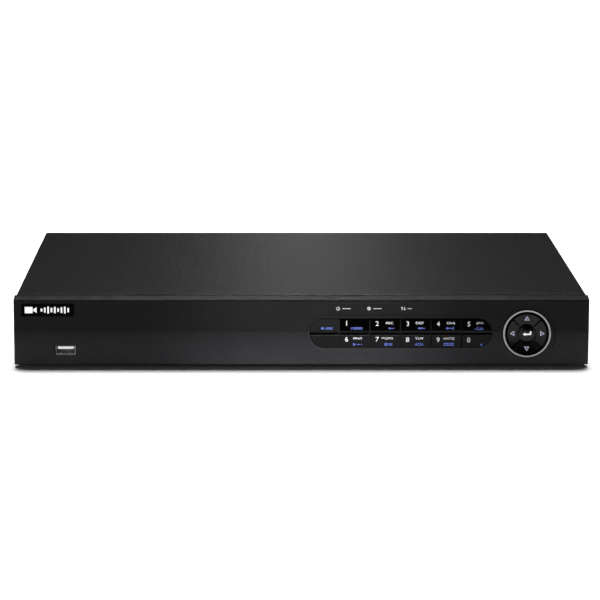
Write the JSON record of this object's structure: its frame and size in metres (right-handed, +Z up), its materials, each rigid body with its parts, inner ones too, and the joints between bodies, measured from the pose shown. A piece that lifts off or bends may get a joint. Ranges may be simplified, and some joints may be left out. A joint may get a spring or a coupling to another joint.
{
  "type": "dvr recorder",
  "caption": "Low, wide desktop video recorder with a textured steel cover, a creased plastic bezel, a numeric keypad and a round arrow pad.",
  "frame": {"origin": "centre of the overall box, on the desk under the feet", "axes": "+Z up, the front bezel faces -Y, the rear sockets face +Y, +X to the right seen from the front"},
  "size_m": [0.3816, 0.302, 0.048],
  "materials": {
    "cover_paint": "fine textured black powder coat",
    "tray_steel": "galvanised sheet",
    "bezel_plastic": "satin black moulded plastic",
    "plate_black": "gloss black",
    "smoked_window": "smoked satin window",
    "bright_ring": "satin plated",
    "key_grey": "satin dark grey",
    "key_black": "gloss black",
    "arrow_black": "semi-gloss black",
    "foot_rubber": "matte",
    "screw_black": "black zinc",
    "screw_steel": "nickel plated",
    "board_green": "solder resist",
    "board_tan": "bare phenolic board",
    "board_black": "black solder resist",
    "part_black": "moulded",
    "led_clear": "clear epoxy",
    "socket_steel": "tinned sheet",
    "socket_nickel": "nickel plated",
    "usb_steel": "dull nickel sheet",
    "socket_black": "moulded",
    "socket_blue": "moulded",
    "terminal_green": "moulded",
    "white_plastic": "moulded",
    "ribbon_grey": "flat cable",
    "brass_parts": "plain",
    "heat_sink_alloy": "black anodised",
    "can_alloy": "sleeved",
    "tape_yellow": "polyester tape",
    "inlet_black": "moulded",
    "rocker_black": "moulded",
    "fan_black": "moulded",
    "drive_alloy": "cast",
    "drive_steel": "stamped lid",
    "cable_red": "insulated wires"
  },
  "bodies": {
    "root": {"base_tray": "tray_steel", "rear_panel": "cover_paint", "top_cover": "cover_paint", "front_bezel": "bezel_plastic", "name_plate": "plate_black", "led_window": "smoked_window", "dpad_ring": "bright_ring", "ir_window": "key_grey", "rubber_feet": "foot_rubber", "case_screws": "screw_black", "front_boards": "board_black", "tact_switches": "part_black", "status_leds": "led_clear", "ir_receiver": "part_black", "usb_shells": "usb_steel", "usb_tongues": "white_plastic", "ribbon_cable": "ribbon_grey", "main_board": "board_green", "standoffs": "brass_parts", "board_screws": "screw_steel", "heat_sinks": "heat_sink_alloy", "board_chips": "part_black", "capacitors": "can_alloy", "coin_cell": "screw_steel", "bnc_shells": "socket_nickel", "bnc_inserts": "white_plastic", "rca_sockets": "socket_black", "vga_socket": "socket_blue", "hdmi_socket": "socket_steel", "lan_socket": "socket_steel", "terminal_block": "terminal_green", "supply_board": "board_tan", "supply_transformer": "tape_yellow", "mains_inlet": "inlet_black", "switch_housing": "inlet_black", "fan_frame": "fan_black", "drive_base": "drive_alloy", "drive_lid": "drive_steel", "drive_bracket": "tray_steel", "drive_cables": "cable_red", "supply_cables": "cable_red", "earth_terminal": "brass_parts"},
    "key_shift": {"key_shift": "key_grey"},
    "key_1": {"key_1": "key_black"},
    "key_2": {"key_2": "key_black"},
    "key_3": {"key_3": "key_black"},
    "key_4": {"key_4": "key_black"},
    "key_5": {"key_5": "key_black"},
    "key_6": {"key_6": "key_grey"},
    "key_7": {"key_7": "key_grey"},
    "key_8": {"key_8": "key_grey"},
    "key_9": {"key_9": "key_grey"},
    "key_0": {"key_0": "key_grey"},
    "key_up": {"key_up": "arrow_black"},
    "key_down": {"key_down": "arrow_black"},
    "key_left": {"key_left": "arrow_black"},
    "key_right": {"key_right": "arrow_black"},
    "key_enter": {"key_enter": "arrow_black"},
    "power_rocker": {"power_rocker": "rocker_black"},
    "fan_rotor": {"fan_rotor": "fan_black"}
  },
  "joints": [
    {"name": "key_shift_press", "type": "slide", "parent": "root", "child": "key_shift", "axis": [0, 1, 0], "range_m": [0, 0.0005], "stiffness_N_per_m": 1500, "springref_m": -0.0003},
    {"name": "key_1_press", "type": "slide", "parent": "root", "child": "key_1", "axis": [0, 1, 0], "range_m": [0, 0.0005], "stiffness_N_per_m": 1500, "springref_m": -0.0003},
    {"name": "key_2_press", "type": "slide", "parent": "root", "child": "key_2", "axis": [0, 1, 0], "range_m": [0, 0.0005], "stiffness_N_per_m": 1500, "springref_m": -0.0003},
    {"name": "key_3_press", "type": "slide", "parent": "root", "child": "key_3", "axis": [0, 1, 0], "range_m": [0, 0.0005], "stiffness_N_per_m": 1500, "springref_m": -0.0003},
    {"name": "key_4_press", "type": "slide", "parent": "root", "child": "key_4", "axis": [0, 1, 0], "range_m": [0, 0.0005], "stiffness_N_per_m": 1500, "springref_m": -0.0003},
    {"name": "key_5_press", "type": "slide", "parent": "root", "child": "key_5", "axis": [0, 1, 0], "range_m": [0, 0.0005], "stiffness_N_per_m": 1500, "springref_m": -0.0003},
    {"name": "key_6_press", "type": "slide", "parent": "root", "child": "key_6", "axis": [0, 1, 0], "range_m": [0, 0.0005], "stiffness_N_per_m": 1500, "springref_m": -0.0003},
    {"name": "key_7_press", "type": "slide", "parent": "root", "child": "key_7", "axis": [0, 1, 0], "range_m": [0, 0.0005], "stiffness_N_per_m": 1500, "springref_m": -0.0003},
    {"name": "key_8_press", "type": "slide", "parent": "root", "child": "key_8", "axis": [0, 1, 0], "range_m": [0, 0.0005], "stiffness_N_per_m": 1500, "springref_m": -0.0003},
    {"name": "key_9_press", "type": "slide", "parent": "root", "child": "key_9", "axis": [0, 1, 0], "range_m": [0, 0.0005], "stiffness_N_per_m": 1500, "springref_m": -0.0003},
    {"name": "key_0_press", "type": "slide", "parent": "root", "child": "key_0", "axis": [0, 1, 0], "range_m": [0, 0.0005], "stiffness_N_per_m": 1500, "springref_m": -0.0003},
    {"name": "key_up_press", "type": "slide", "parent": "root", "child": "key_up", "axis": [0, 1, 0], "range_m": [0, 0.0005], "stiffness_N_per_m": 1500, "springref_m": -0.0003},
    {"name": "key_down_press", "type": "slide", "parent": "root", "child": "key_down", "axis": [0, 1, 0], "range_m": [0, 0.0005], "stiffness_N_per_m": 1500, "springref_m": -0.0003},
    {"name": "key_left_press", "type": "slide", "parent": "root", "child": "key_left", "axis": [0, 1, 0], "range_m": [0, 0.0005], "stiffness_N_per_m": 1500, "springref_m": -0.0003},
    {"name": "key_right_press", "type": "slide", "parent": "root", "child": "key_right", "axis": [0, 1, 0], "range_m": [0, 0.0005], "stiffness_N_per_m": 1500, "springref_m": -0.0003},
    {"name": "key_enter_press", "type": "slide", "parent": "root", "child": "key_enter", "axis": [0, 1, 0], "range_m": [0, 0.0005], "stiffness_N_per_m": 1500, "springref_m": -0.0003},
    {"name": "power_rocker_tilt", "type": "hinge", "parent": "root", "child": "power_rocker", "pos_m": [0.128, 0.1365, 0.024], "axis": [1, 0, 0], "range_deg": [0, 24]},
    {"name": "fan_spin", "type": "hinge", "parent": "root", "child": "fan_rotor", "pos_m": [0.084, 0.133, 0.025], "axis": [0, 1, 0], "continuous": true}
  ]
}
